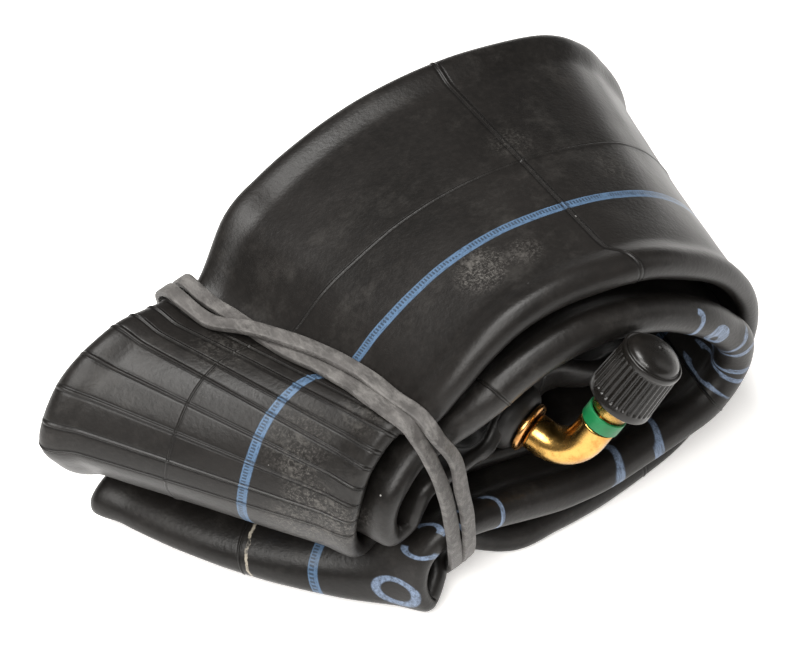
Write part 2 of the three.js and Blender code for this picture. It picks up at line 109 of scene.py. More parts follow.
def outward(piece):
    """Turns the faces outwards if the closed mesh is inside out."""
    mesh = piece.data
    mesh.calc_loop_triangles()
    corners = np.array([v.co for v in mesh.vertices])[np.array([t.vertices for t in mesh.loop_triangles])]
    if np.einsum("ij,ij->", corners[:, 0], np.cross(corners[:, 1], corners[:, 2])) < 0:
        mesh.flip_normals()
    return piece


def dress(piece, body, material, slot, *nodes):
    """Puts a material on a piece, rides it on its body and hides the CAD nodes it stands for."""
    piece.data.materials.clear()
    piece.data.materials.append(material)
    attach(piece, body)
    if nodes:
        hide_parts(*nodes)


# ---------- tube ----------

def station(near, far, near_radius, far_radius, bow=(0, 0, 0), across=None):
    """One ruling of the flattened tube: five points across it and its two edge radii."""
    near, far, bow = np.array(near, float), np.array(far, float), np.array(bow, float)
    if across is None:
        across = [near + (far - near) * s + bow * lift for s, lift in ((0.25, 0.75), (0.5, 1), (0.75, 0.75))]
    return [near, *np.array(across, float), far], (near_radius, far_radius)


LOWER_STRAND = [
    station([-14.2, -23.8, 2.6], [-47.9, 18.4, 5.6], 1.5, 1.6, bow=[-2.5, -2, -0.7]),
    station([-11.6, -22.3, 5.2], [-43.4, 20.3, 2.4], 1.5, 1.6, bow=[-2, -1, -1.2]),
    station([-9.7, -19.8, 6.8], [-36.1, 23.7, 3.2], 1.8, 1.7),
    station([-4.3, -18.5, 4.9], [-26.1, 27.7, 3.2], 2.2, 1.7),
    station([2.4, -21.1, 2.5], [-12.1, 31.2, 1.9], 2.5, 2.2),
    station([8.9, -21.3, 2.6], [1.9, 32.7, 1.9], 2.6, 2.2),
    station([16.4, -20.9, 2.6], [13.9, 32.7, 1.9], 2.6, 2.2),
    station([23.9, -19.7, 2.6], [24.4, 32.7, 1.9], 2.5, 2.2),
    station([31.9, -18.3, 3.4], [34.9, 33.2, 2.4], 2, 2.2),
]
RIGHT_TURN = [
    station([39.4, -16.6, 6.5], [45.4, 33.2, 5.1], 1.7, 2.2),
    station([44.3, -16.2, 12], [51.9, 32.7, 11.5], 1.6, 2.2),
    station([45.7, -16.9, 18.3], [53.5, 32.7, 19.3], 1.6, 2.2, bow=[-0.5, 0, 0]),
    station([44.7, -18.1, 25], [52.3, 32.7, 27.3], 1.7, 2.2, bow=[-0.5, 0, 0]),
    station([42, -19.1, 31.3], [49.3, 33, 33.6], 1.8, 2.2, bow=[-0.5, 0, -0.3]),
    station([37.2, -20.3, 37.9], [45.5, 32.7, 38.9], 2, 2.2, bow=[-0.4, 0, -0.4]),
    station([30.8, -21.3, 43.4], [39.2, 32.9, 43], 2.2, 2.2),
]
TOP_STRAND = [
    station([23.7, -21.7, 47.9], [26.6, 33.3, 45.4], 2.3, 2.2),
    station([15.4, -21.3, 49.5], [15.9, 33.5, 45.6], 2.4, 2.2),
    station([8.7, -20.8, 49.5], [6.9, 33.7, 44.3], 2.4, 2.2),
    station([2.4, -20.7, 48.1], [-1.6, 33.1, 42.3], 2.4, 2.2),
    station([-3.1, -21, 45.3], [-9.6, 31.9, 40], 2.3, 2.2),
    station([-7.9, -21.3, 41.5], [-16.2, 29.7, 38.2], 2.1, 2.1),
    station([-12.1, -20.6, 37.1], [-24.3, 25.7, 31], 1.8, 1.9),
]
OUTER_ROLL = [
    station([-16.7, -19.1, 36.5], [-33.1, 23.2, 33.2], 1.6, 2),
    station([-21.3, -19.4, 32], [-40.6, 21.7, 34.7], 1.5, 2),
    station([-23.2, -19.5, 27], [-49.4, 19.9, 31.9], 1.5, 2),
    station([-24.4, -19.5, 22], [-54.4, 18.4, 25.2], 1.5, 2),
    station([-24, -18.8, 16.8], [-53.1, 18.9, 20], 1.5, 2),
    station([-21.8, -17.7, 13.5], [-48.2, 21, 13.2], 1.5, 2),
]
INNER_LOWER = [
    station([-18.3, -16.5, 13.7], [-39.1, 24.7, 11.3], 1.3, 1.6),
    station([-14.6, -16.2, 15.6], [-29.1, 28.2, 11.7], 1.3, 1.6, bow=[0, 0, -1]),
    station([-10.6, -16.3, 17.8], [-18.1, 31.7, 12.1], 1.3, 1.6, bow=[0, 0, -1.5]),
    station([-5.1, -16.3, 18.5], [-7.1, 32.7, 12.3], 1.3, 1.6, bow=[0, 0, -1.8]),
    station([1.9, -15.8, 16.5], [3.9, 33.7, 12.3], 1.3, 1.6, bow=[0, 0, -1.2]),
    station([9.9, -15.3, 14.1], [13.9, 33.7, 12.3], 1.3, 1.6),
    station([18.9, -14.3, 13.3], [22.9, 33.7, 12.3], 1.3, 1.6),
]
VALVE_FOLD = [
    station([27.9, -13.8, 13.5], [30.9, 32.7, 12.5], 1.4, 1.6),
    station([31.5, -13.3, 16.5], [34.9, 32.7, 15.3], 1.5, 1.6),
    station([28.4, -13.3, 19.7], [30.9, 32.7, 17.9], 1.4, 1.6),
    station([21.4, -12.3, 22.3], [23.9, 31.7, 17.4], 1.4, 1.6,
            across=[[20.9, -10.8, 18.9], [21.4, -4.3, 17.3], [22.4, 10.7, 17.1]]),
    station([13.8, -11.9, 26.7], [14.4, 31.2, 17.1], 1.2, 1.6,
            across=[[13.4, -10.7, 21.9], [13.5, -6.8, 18.3], [14.1, 8.7, 17.1]]),
    station([3.9, -16.3, 30.7], [5.9, 30.7, 17], 1.1, 1.6,
            across=[[3.4, -15.1, 25.3], [2.8, -13.6, 19.8], [4.9, 5.7, 17.7]]),
    station([-1.7, -19.1, 25.8], [-4.1, 30.2, 17], 1.2, 1.6,
            across=[[-2.7, -17.5, 22.7], [-2.5, -9.3, 20.8], [-3.1, 8.7, 17.9]]),
]
INNER_ROLL = [
    station([-6.7, -20.4, 24.1], [-15.1, 30.7, 16.5], 1.4, 1.6,
            across=[[-7.9, -13.3, 22.3], [-9.6, -4.3, 20.1], [-12.6, 12.7, 17.3]]),
    station([-12.3, -21.1, 23.4], [-26.1, 27.7, 16.1], 1.4, 1.6),
    station([-14.4, -21.3, 20.5], [-36.1, 24.7, 15.3], 1.3, 1.6),
    station([-15.7, -21.3, 17.9], [-44.1, 21.2, 15.9], 1.3, 1.6),
    station([-18.6, -21.7, 17.9], [-48.1, 19.3, 20.1], 1.7, 1.6),
    station([-19.4, -21.9, 21.9], [-46.3, 19.7, 25.7], 1.8, 1.6),
    station([-18.1, -21.8, 25.9], [-39.6, 21.2, 29.1], 1.9, 1.7),
    station([-13.9, -20.7, 29.5], [-32.1, 23, 28.6], 2, 1.7),
]
INNER_TOP = [
    station([-10.3, -21.7, 32.1], [-25, 24.5, 26.2], 2.2, 1.8),
    station([-6.8, -23.1, 35.1], [-19.1, 26.9, 29.4], 2.6, 1.8),
    station([-3.1, -24.1, 38.1], [-12.6, 29.3, 33.6], 2.8, 1.9),
    station([1.1, -24.1, 40.3], [-5.1, 31.1, 36.5], 2.8, 1.9),
    station([6.1, -24.1, 41.9], [3.9, 32.2, 38.9], 2.8, 2),
    station([11.9, -24.1, 42.5], [12.9, 32.2, 40.4], 2.8, 2),
    station([18.9, -24.1, 41.3], [22.7, 32.2, 40.6], 2.8, 2.1),
    station([25.9, -24.1, 38.3], [31.9, 32, 38.5], 2.8, 2.1),
]
INNER_TURN = [
    station([32.6, -24.1, 33.3], [38.6, 31.7, 34.8], 2.8, 2.1),
    station([37.2, -23.2, 27.6], [44.2, 31.2, 30.3], 2.8, 2.1),
    station([39.8, -22.7, 23.4], [47.8, 31, 25], 2.8, 2.1),
    station([40.2, -22.1, 18.8], [48.6, 31, 18.7], 2.8, 2.1),
    station([38.2, -22.2, 15.3], [46.2, 31.2, 13], 2.8, 2.1),
    station([34.5, -22.7, 12.9], [41, 31.7, 9.1], 2.8, 2.1),
]
INNER_BOTTOM = [
    station([29.1, -23.1, 11.8], [34.4, 31.7, 7.4], 2.8, 2.1),
    station([22.9, -23.5, 10.9], [23.9, 31.7, 7], 2.8, 2.1),
    station([15.9, -24.1, 10.4], [13.9, 31.7, 6.9], 2.8, 2.1),
    station([8.9, -24.1, 10.8], [3.9, 31.2, 6.9], 2.8, 2.1),
    station([2.4, -24.1, 12.7], [-8.1, 30.2, 6.9], 2.8, 2.1),
    station([-4.1, -23.9, 14.5], [-20.1, 28.7, 7.5], 2.5, 1.9, bow=[0, 0, -1]),
    station([-10.1, -23.7, 14.8], [-31.1, 25.2, 7.7], 2, 1.8, bow=[0, 0, -1.5]),
    station([-14.4, -23.5, 11.8], [-39.1, 22.2, 7.3], 1.6, 1.7, bow=[0, 0, -1.2]),
    station([-15.6, -23.6, 6.8], [-45.6, 19.1, 7.9], 1.5, 1.6, bow=[-2, -1.5, -1]),
]
STATIONS = [
    *LOWER_STRAND, *RIGHT_TURN, *TOP_STRAND, *OUTER_ROLL, *INNER_LOWER,
    *VALVE_FOLD, *INNER_ROLL, *INNER_TOP, *INNER_TURN, *INNER_BOTTOM,
]
CONTROL = np.array([points for points, _ in STATIONS])
EDGE_RADII = np.array([radii for _, radii in STATIONS])

FLAT_HALF = 1.05    # half thickness where the tube is pressed flat
TAPER = 4.5         # length over which a folded edge thins out to the flat part
PARTING = 28.6      # the mould's parting line, measured from the near edge
PARTING_HEIGHT = 0.13
PARTING_WIDTH = 0.15
RIB_HEIGHT = 0.22
RIB_WIDTH = 0.17
RIB_REACH = 0.14    # in stations: how far the close rings go on past a rib, and their spacing
RIB_SPACING = 0.018
SEAM_REACH = 0.32
SEAM_LEAN = 0.25    # how far the seam runs off at the near edge, in stations
SEAM_LEAN_REACH = 9     # distance from the near edge at which it starts to
STATION_LENGTH = 7.6    # about how far apart the stations are along the tube
RUN_COLUMN = 40     # the column of points along which lengths round the tube are measured
# stations of the moulded cross ribs: the seam on top, the rolled end, the inner strand, underneath
SEAM = 16.48
ROLL_RIBS = (22.8, 23.13, 23.57, 23.97, 24.56, 25.15, 25.72, 26.25)
OTHER_RIBS = (7.2, 40.3, 53.27, 63.65)
RIBS = (SEAM, *ROLL_RIBS, *OTHER_RIBS)


def ruling_lines(t):
    """Points across the tube at each t, with the arc length up to each of them."""
    control = catmull_rom(CONTROL, t, True)
    s = np.linspace(0, 4, 96)
    lines = catmull_rom(control.transpose(1, 0, 2), s, False).transpose(1, 0, 2)
    lengths = np.linalg.norm(np.diff(lines, axis=1), axis=2)
    return lines, np.concatenate([np.zeros((len(t), 1)), np.cumsum(lengths, axis=1)], axis=1)


def at_lengths(lines, lengths, wanted):
    """The points of each line at its own row of wanted arc lengths."""
    found = np.empty((*wanted.shape, 3))
    for row in range(len(lines)):
        for axis in range(3):
            found[row, :, axis] = np.interp(wanted[row], lengths[row], lines[row, :, axis])
    return found


def columns_across(width, near, far):
    """Distances from the near edge at which the skin has points, close together where it bends."""
    bend = 1 - np.cos(np.linspace(0, math.pi / 2, 10))
    ease = np.linspace(0, 1, 8)[1:]
    clear = 0.7
    return np.concatenate([
        near * bend,
        near + TAPER * ease,
        np.linspace(near + TAPER, PARTING - clear, 21)[1:],
        np.linspace(PARTING - clear, PARTING + clear, 13)[1:],
        np.linspace(PARTING + clear, width - far - TAPER, 17)[1:],
        width - far - TAPER * (1 - ease),
        (width - far * bend[::-1])[1:],
    ])


def edge_half(distance, radius):
    """Half thickness at a distance from a folded edge, which thins out to the flat part."""
    inside = np.sqrt(np.maximum(radius**2 - (radius - distance) ** 2, 0))
    share = np.clip((distance - radius) / TAPER, 0, 1)
    outside = radius + (FLAT_HALF - radius) * (0.5 - 0.5 * np.cos(math.pi * share))
    return np.where(distance < radius, inside, outside)


def rib_lean(rib, distance):
    """How far a rib has run off its station at a distance from the near edge."""
    return SEAM_LEAN * np.clip(1 - distance / SEAM_LEAN_REACH, 0, 1) ** 2 if rib == SEAM else 0


def ring_places():
    """Places along the tube, eight to a station and close together over each rib."""
    places = [np.arange(0, len(STATIONS), 1 / 8)]
    for rib in RIBS:
        reach = SEAM_REACH if rib == SEAM else RIB_REACH
        places.append(np.arange(rib - reach, rib + RIB_REACH, RIB_SPACING))
    return np.unique(np.round(np.concatenate(places), 4))


def relief(t, pitch, distance, outer):
    """Height of the moulded ribs, the parting line and the soft unevenness over the skin."""
    height = np.zeros_like(distance)
    for rib in RIBS:
        away = (t[:, None] - rib + rib_lean(rib, distance)) * pitch[:, None]
        height += RIB_HEIGHT * np.exp(-((away / RIB_WIDTH) ** 2))
    parting = np.exp(-(((distance - PARTING) / PARTING_WIDTH) ** 2))
    height += PARTING_HEIGHT * parting * (1 if outer else 0.6)
    slow = np.sin(t[:, None] * 1.7 + distance * 0.16) * np.sin(t[:, None] * 0.9 - distance * 0.11 + 1)
    quick = np.sin(t[:, None] * 4.1 - distance * 0.35 + 2) * np.sin(t[:, None] * 3.3 + distance * 0.5)
    return height + 0.05 * slow + 0.02 * quick


def skin():
    """The tube's outer skin as one grid, with its place along and across the tube in UV."""
    t = ring_places()
    lines, lengths = ruling_lines(t)
    radii = catmull_rom(EDGE_RADII, t, True)
    distance = np.array([columns_across(lengths[i, -1], *radii[i]) for i in range(len(t))])
    width = lengths[:, -1:]
    middle = at_lengths(lines, lengths, distance)
    step = 0.25
    shares = distance / width
    before, before_lengths = ruling_lines(t - step)
    after, after_lengths = ruling_lines(t + step)
    along = at_lengths(after, after_lengths, shares * after_lengths[:, -1:])
    along -= at_lengths(before, before_lengths, shares * before_lengths[:, -1:])
    nudge = 0.15
    across = at_lengths(lines, lengths, np.minimum(distance + nudge, width))
    across -= at_lengths(lines, lengths, np.maximum(distance - nudge, 0))
    normal = unit(np.cross(along, across))
    near_half = edge_half(distance, radii[:, :1])
    far_half = edge_half(width - distance, radii[:, 1:])
    half = np.where(distance < width / 2, near_half, far_half)
    pitch = np.linalg.norm(along, axis=2).mean(axis=1) / (2 * step)
    fade = np.clip(half / FLAT_HALF, 0, 1)
    outer = middle - normal * (half + fade * relief(t, pitch, distance, True))[:, :, None]
    inner = middle + normal * (half + fade * relief(t, pitch, distance, False))[:, :, None]
    grid = np.concatenate([outer, inner[:, -2:0:-1]], axis=1)
    grid[:, :, 2] = np.maximum(grid[:, :, 2], 0)
    line = middle[:, RUN_COLUMN]
    run = np.concatenate([[0], np.cumsum(np.linalg.norm(np.diff(line, axis=0), axis=1))])
    run = np.append(run, run[-1] + np.linalg.norm(line[0] - line[-1]))
    v = np.concatenate([distance, -distance[:, -2:0:-1]], axis=1)
    v_here = v.copy()
    v_here[:, distance.shape[1] - 1] *= -1
    v_beyond = np.roll(v, -1, axis=1)
    return t, run, grid, v, v_here, v_beyond


tube_t, tube_run, tube_grid, tube_v, tube_v_here, tube_v_beyond = skin()


def run_at(place):
    """Length round the tube, in millimetres, at a place counted in stations."""
    return float(np.interp(place, tube_t, tube_run[:-1]))


# ---------- materials ----------

class Paint:
    """A material under construction, with short ways to add and join its nodes."""

    def __init__(self, name, **sockets):
        self.material = bpy.data.materials.new(name)
        self.material.use_nodes = True
        self.tree = self.material.node_tree
        self.shader = self.tree.nodes["Principled BSDF"]
        for socket, value in sockets.items():
            self.shader.inputs[socket.replace("_", " ")].default_value = value

    def feed(self, socket, value):
        if isinstance(value, bpy.types.NodeSocket):
            self.tree.links.new(value, socket)
        else:
            socket.default_value = value

    def node(self, kind, output=0, settings=(), **inputs):
        node = self.tree.nodes.new(kind)
        for key, value in dict(settings).items():
            setattr(node, key, value)
        for key, value in inputs.items():
            socket = node.inputs[int(key[1:])] if key[1:].isdigit() else node.inputs[key.replace("_", " ")]
            self.feed(socket, value)
        return node.outputs[output]

    def math(self, operation, *values):
        slots = {f"i{k}": value for k, value in enumerate(values)}
        return self.node("ShaderNodeMath", settings={"operation": operation}, **slots)

    def place(self):
        return self.node("ShaderNodeTexCoord", "Object")

    def noise(self, scale, detail, roughness, where=None):
        return self.node(
            "ShaderNodeTexNoise", "Fac", Vector=where or self.place(), Scale=scale,
            Detail=detail, Roughness=roughness)

    def step(self, value, low, high, to_low=0.0, to_high=1.0):
        """Smooth ramp of value from low to high."""
        return self.node(
            "ShaderNodeMapRange", settings={"interpolation_type": "SMOOTHSTEP"}, Value=value,
            From_Min=low, From_Max=high, To_Min=to_low, To_Max=to_high)

    def band(self, value, centre, half, soft):
        """1 where value is within half of centre, falling to 0 over soft."""
        away = self.math("ABSOLUTE", self.math("SUBTRACT", value, centre))
        return self.step(away, half + soft, half)

    def mix(self, factor, low, high):
        return self.node(
            "ShaderNodeMix", 2, settings={"data_type": "RGBA"}, i0=factor, i6=low, i7=high)

    def scaled(self, vector, scale):
        return self.node("ShaderNodeMapping", Vector=vector, Scale=scale)

    def bump(self, height, distance):
        normal = self.node("ShaderNodeBump", Height=height, Distance=distance, Strength=1.0)
        self.feed(self.shader.inputs["Normal"], normal)

    def set(self, socket, value):
        self.feed(self.shader.inputs[socket], value)


def rgb(red, green, blue):
    return (red, green, blue, 1.0)


BLUE_PRINT = rgb(0.062, 0.108, 0.178)
PALE_PRINT = rgb(0.15, 0.2, 0.29)
CHALK = rgb(0.13, 0.122, 0.112)
STRIPE = 16.9       # middle of the printed stripe, measured from the near edge
TICK_PITCH = 0.52


def make_butyl(marks, smears, dried):
    """Black butyl: cloudy sheen, chalk, a printed stripe with ticks and generic print strokes.

    dried is the place of a line of dried chalk: its run along the tube and its height across it.
    """
    paint = Paint("butyl", Specular_IOR_Level=0.22)
    spots = paint.place()
    cloud = paint.noise(45, 4, 0.55)
    grain = paint.noise(900, 3, 0.6)
    color = paint.mix(paint.step(cloud, 0.3, 0.72), rgb(0.0045, 0.004, 0.0036), rgb(0.0085, 0.0074, 0.0067))
    color = paint.mix(paint.step(grain, 0.35, 0.75, 0, 0.35), color, rgb(0.014, 0.0122, 0.011))

    where = paint.node("ShaderNodeUVMap", settings={"uv_map": "Along and across"})
    split = paint.tree.nodes.new("ShaderNodeSeparateXYZ")
    paint.feed(split.inputs[0], where)
    u, v = split.outputs[0], split.outputs[1]

    # chalk: torn patches inside the smears, and sparse specks everywhere
    patch = 0.0
    for centre, reach, amount in smears:
        far = paint.node("ShaderNodeVectorMath", "Value", {"operation": "DISTANCE"}, i0=spots, i1=centre)
        patch = paint.math("MAXIMUM", patch, paint.step(far, reach, reach * 0.25, 0, amount))
    torn = paint.step(paint.noise(2400, 6, 0.85), 0.46, 0.7)
    streak = paint.step(paint.noise(1, 5, 0.65, paint.scaled(spots, (900, 500, 900))), 0.5, 0.7)
    dust = paint.math("MULTIPLY", patch, paint.math("MAXIMUM", torn, paint.math("MULTIPLY", streak, 0.6)))
    haze = paint.math("MULTIPLY", paint.step(paint.noise(110, 7, 0.8), 0.48, 0.75), 0.1)
    dust = paint.math("MAXIMUM", dust, haze)
    color = paint.mix(dust, color, CHALK)
    speck = paint.node("ShaderNodeTexVoronoi", "Distance", Vector=spots, Scale=260.0)
    rare = paint.node("ShaderNodeTexWhiteNoise", "Value", Vector=paint.node(
        "ShaderNodeTexVoronoi", "Position", Vector=spots, Scale=260.0))
    speck = paint.math("MULTIPLY", paint.step(speck, 0.05, 0.025), paint.math("GREATER_THAN", rare, 0.93))
    color = paint.mix(paint.math("MULTIPLY", speck, 0.75), color, rgb(0.35, 0.34, 0.33))

    # stripe: a solid line, a thin line and ticks between them, worn through in places
    worn = paint.step(paint.noise(1, 6, 0.85, paint.scaled(where, (0.8, 2, 1))), 0.3, 0.56, 0.25, 1.0)
    solid_line = paint.band(v, STRIPE - 0.42, 0.24, 0.1)
    thin_line = paint.band(v, STRIPE + 0.66, 0.08, 0.08)
    tick = paint.band(paint.math("FRACT", paint.math("DIVIDE", u, TICK_PITCH)), 0.5, 0.2, 0.12)
    smudge = paint.step(paint.noise(1, 3, 0.6, paint.scaled(where, (0.13, 0.3, 1))), 0.52, 0.6)
    tick = paint.math("MAXIMUM", tick, smudge)
    ticks = paint.math("MULTIPLY", tick, paint.band(v, STRIPE + 0.18, 0.42, 0.1))
    stripe = paint.math("MAXIMUM", solid_line, paint.math("MAXIMUM", thin_line, ticks))
    stripe = paint.math("MULTIPLY", stripe, worn)
    under = paint.math("MULTIPLY", paint.band(v, STRIPE + 0.02, 0.7, 0.15), 0.3)
    color = paint.mix(paint.math("MAXIMUM", stripe, under), color, BLUE_PRINT)

    # print: rings and open arcs, patchy like a rubber stamp
    stamp = 0.0
    for run, height, half_run, half_height, lean, line, opening in marks:
        du = paint.math("SUBTRACT", u, run)
        dv = paint.math("SUBTRACT", v, height)
        du = paint.math("SUBTRACT", du, paint.math("MULTIPLY", dv, lean))
        radius = paint.math("SQRT", paint.math(
            "ADD", paint.math("POWER", paint.math("DIVIDE", du, half_run), 2.0),
            paint.math("POWER", paint.math("DIVIDE", dv, half_height), 2.0)))
        ring = paint.band(radius, 1.0, line / (half_run + half_height), 0.12)
        if opening:
            side = paint.math("MULTIPLY", du, opening)
            ring = paint.math("MULTIPLY", ring, paint.step(side, -0.15, 0.1))
        stamp = paint.math("MAXIMUM", stamp, ring)
    patchy = paint.step(paint.noise(1, 7, 0.85, paint.scaled(where, (1.3, 1.3, 1))), 0.36, 0.62, 0.2, 1.0)
    color = paint.mix(paint.math("MULTIPLY", stamp, patchy), color, PALE_PRINT)

    # a wavy line of dried chalk beside the parting line on the lowest fold
    wave = paint.math("MULTIPLY", paint.noise(1, 3, 0.6, paint.scaled(where, (0.5, 0.1, 1))), 1.6)
    dry = paint.band(paint.math("ADD", v, wave), dried[1], 0.16, 0.14)
    dry = paint.math("MULTIPLY", dry, paint.band(u, dried[0], 4, 2))
    color = paint.mix(paint.math("MULTIPLY", dry, paint.step(grain, 0.3, 0.6)), color, rgb(0.3, 0.27, 0.22))

    # painted shade at the feet of the ribs and beside the parting line; the same mask also cuts a shallow
    # groove in the bump
    foot = paint.node("ShaderNodeAttribute", "Fac", {"attribute_name": "shade_and_groove"})
    color = paint.mix(paint.math("MULTIPLY", foot, 0.75), color, rgb(0.0015, 0.0012, 0.001))
    paint.set("Base Color", color)
    rough = paint.step(cloud, 0.3, 0.75, 0.36, 0.47)
    paint.set("Roughness", paint.math("ADD", rough, paint.math("MULTIPLY", dust, 0.25)))
    fine = paint.noise(1500, 3, 0.6)
    coarse = paint.noise(240, 4, 0.6)
    pebble = paint.math("ADD", fine, paint.math("MULTIPLY", coarse, 0.7))
    paint.bump(paint.math("SUBTRACT", pebble, paint.math("MULTIPLY", foot, 1.6)), 0.00005)
    return paint.material


def make_rubber(name, dark, light, rough):
    """Plain rubber with a mottled tone and a fine skin."""
    paint = Paint(name, Specular_IOR_Level=0.3)
    mottle = paint.noise(140, 4, 0.6)
    paint.set("Base Color", paint.mix(paint.step(mottle, 0.3, 0.7), dark, light))
    paint.set("Roughness", paint.step(mottle, 0.3, 0.75, rough - 0.06, rough + 0.06))
    paint.bump(paint.noise(700, 4, 0.6), 0.00005)
    return paint.material


def make_elastic():
    """Grey-black elastic with chalky, rubbed streaks."""
    paint = Paint("elastic")
    spots = paint.place()
    mottle = paint.noise(350, 5, 0.65)
    rub = paint.step(paint.noise(1, 6, 0.75, paint.scaled(spots, (700, 220, 700))), 0.42, 0.68)
    color = paint.mix(paint.step(mottle, 0.3, 0.7), rgb(0.038, 0.035, 0.033), rgb(0.07, 0.065, 0.062))
    paint.set("Base Color", paint.mix(paint.math("MULTIPLY", rub, 0.55), color, rgb(0.17, 0.162, 0.154)))
    paint.set("Roughness", paint.step(mottle, 0.3, 0.75, 0.58, 0.72))
    paint.bump(paint.math("ADD", paint.noise(1300, 4, 0.65), rub), 0.00006)
    return paint.material


def make_metal(name, bright, dull, low, high):
    """Bare metal with tarnish clouds and a fine grain."""
    paint = Paint(name, Metallic=1.0)
    tarnish = paint.noise(420, 5, 0.65)
    paint.set("Base Color", paint.mix(paint.step(tarnish, 0.42, 0.72), bright, dull))
    paint.set("Roughness", paint.step(tarnish, 0.35, 0.75, low, high))
    paint.bump(paint.noise(2600, 3, 0.6), 0.000012)
    return paint.material


def make_plastic(name, dark, light, rough):
    """Moulded plastic with a fine pebble and slight scuffing."""
    paint = Paint(name, Specular_IOR_Level=0.3)
    scuff = paint.noise(260, 5, 0.65)
    paint.set("Base Color", paint.mix(paint.step(scuff, 0.4, 0.8), dark, light))
    paint.set("Roughness", paint.step(scuff, 0.3, 0.8, rough - 0.05, rough + 0.1))
    paint.bump(paint.noise(1400, 3, 0.55), 0.00003)
    return paint.material


def mark(station_at, height, half_run, half_height, lean, line, opening=0):
    """A printed ring, open on one side unless opening is 0, with its place as a run along the tube."""
    return run_at(station_at), height, half_run, half_height, lean, line, opening


def smear(station_at, height, reach, amount):
    """A chalky place on the outer skin: its point in metres, its reach and its strength."""
    row = int(np.argmin(abs(tube_t - station_at)))
    column = int(np.argmin(abs(tube_v[row] - height)))
    return tuple(tube_grid[row, column] * MM), reach * MM, amount


# generic print strokes: station, height above the near edge, half sizes, lean, line, open side
MARKS = [
    mark(73.12, 4.4, 2.1, 3.0, 0.0, 0.85),
    mark(71.75, 2.2, 1.5, 2.6, 0.1, 0.7, 1),
    mark(71.25, 3.4, 1.2, 2.2, 0.0, 0.7, -1),
    mark(70.7, 1.0, 1.3, 2.4, 0.0, 0.7),
    mark(69.95, 0.9, 1.7, 2.3, 0.0, 0.7, -1),
    mark(66.95, 3.4, 3.0, 4.6, 0.0, 1.1, -1),
    mark(65.8, 4.2, 2.8, 5.0, 0.0, 1.1, -1),
    mark(63.3, 5.6, 1.3, 4.6, 0.1, 1.1, 1),
    mark(62.7, 4.8, 1.2, 4.8, 0.1, 1.1, -1),
    mark(62.0, 4.2, 1.5, 4.4, 0.0, 0.7, 1),
    mark(61.2, 3.6, 1.3, 4.2, 0.0, 0.7, -1),
    mark(60.4, 3.0, 1.6, 4.2, 0.0, 0.7, 1),
    mark(59.4, 0.3, 1.6, 0.5, 0.3, 0.9),
    mark(58.5, 0.6, 1.6, 1.6, 0.0, 0.5, 1),
]
SMEARS = [
    smear(18.6, 12.6, 5.5, 0.9),
    smear(17.8, 11.5, 4, 0.5),
    smear(24.7, 10.5, 5, 0.7),
    smear(25.6, 7.0, 6, 0.9),
    smear(26.0, 3.0, 7, 1.0),
    smear(26.6, 8.0, 8, 1.0),
    smear(24.3, 12.0, 8, 0.45),
    smear(23.2, 30.0, 7, 0.35),
    smear(22.9, 6.0, 6, 0.4),
    smear(16.4, 33.0, 5, 0.3),
    smear(15.2, 24.0, 5, 0.35),
]


def build_tube():
    """The whole folded tube as one closed skin that stands for the CAD tube."""
    piece = outward(grid_mesh("inner_tube", tube_grid, uv=(tube_run, tube_v_here, tube_v_beyond)))
    shade_and_groove = np.zeros(tube_grid.shape[:2])      # 1 in the painted shade beside the ribs
    for rib in RIBS:
        gap = np.abs(tube_t[:, None] - rib + rib_lean(rib, tube_v)) * STATION_LENGTH
        shade_and_groove = np.maximum(shade_and_groove, np.exp(-(((gap - 0.3) / 0.15) ** 2)))
    # painted shade beside the parting line too, at half strength
    line = np.abs(np.abs(tube_v) - PARTING)
    shade_and_groove = np.maximum(shade_and_groove, 0.5 * np.exp(-(((line - 0.24) / 0.12) ** 2)))
    layer = piece.data.attributes.new("shade_and_groove", "FLOAT", "POINT")
    layer.data.foreach_set("value", shade_and_groove.astype(np.float32).ravel())
    butyl = make_butyl(MARKS, SMEARS, (run_at(73.1), PARTING - 0.4))
    dress(piece, "root", butyl, "butyl", "tube_body")


# ---------- valve ----------

# The valve's own frame: origin at the washer's centre, +Z out of the tube, and the upper leg
# leaning over in its XZ plane. Heights on the upper leg count from where the two axes meet.
WASHER_CENTRE = np.array([5.1, -18.8, 24.3])
LOWER_AXIS = unit(np.array([0.382, -0.888, -0.255]))
UPPER_AXIS = unit(np.array([0.518, -0.177, 0.837]))
LOWER_LEG = 7.4
BEND_RADIUS = 5.5
BEND = math.acos(LOWER_AXIS @ UPPER_AXIS)
SIDE = unit(UPPER_AXIS - LOWER_AXIS * (UPPER_AXIS @ LOWER_AXIS))
BINORMAL = np.cross(LOWER_AXIS, SIDE)
CORNER = WASHER_CENTRE + LOWER_LEG * LOWER_AXIS
UPPER_SIDE = SIDE * math.cos(BEND) - LOWER_AXIS * math.sin(BEND)
BEND_REACH = BEND_RADIUS * math.tan(BEND / 2)
BEND_START = LOWER_LEG - BEND_REACH
BEND_END = BEND_START + BEND_RADIUS * BEND


def on_lower(points):
    return WASHER_CENTRE + points @ np.array([SIDE, BINORMAL, LOWER_AXIS])


def on_upper(points):
    return CORNER + points @ np.array([UPPER_SIDE, BINORMAL, UPPER_AXIS])


def along_stem(distance):
    """Point and sideways direction on the stem's bent axis, in the valve's own frame."""
    angle = np.clip((distance - BEND_START) / BEND_RADIUS, 0, BEND)
    ahead = np.stack([np.sin(angle), 0 * angle, np.cos(angle)], -1)
    side = np.stack([np.cos(angle), 0 * angle, -np.sin(angle)], -1)
    point = np.stack([BEND_RADIUS * (1 - np.cos(angle)), 0 * angle, BEND_RADIUS * np.sin(angle)], -1)
    point[:, 2] += np.minimum(distance, BEND_START)
    point += ahead * np.maximum(distance - BEND_END, 0)[:, None]
    return point, side


def on_leg(height):
    return BEND_END + height - BEND_REACH


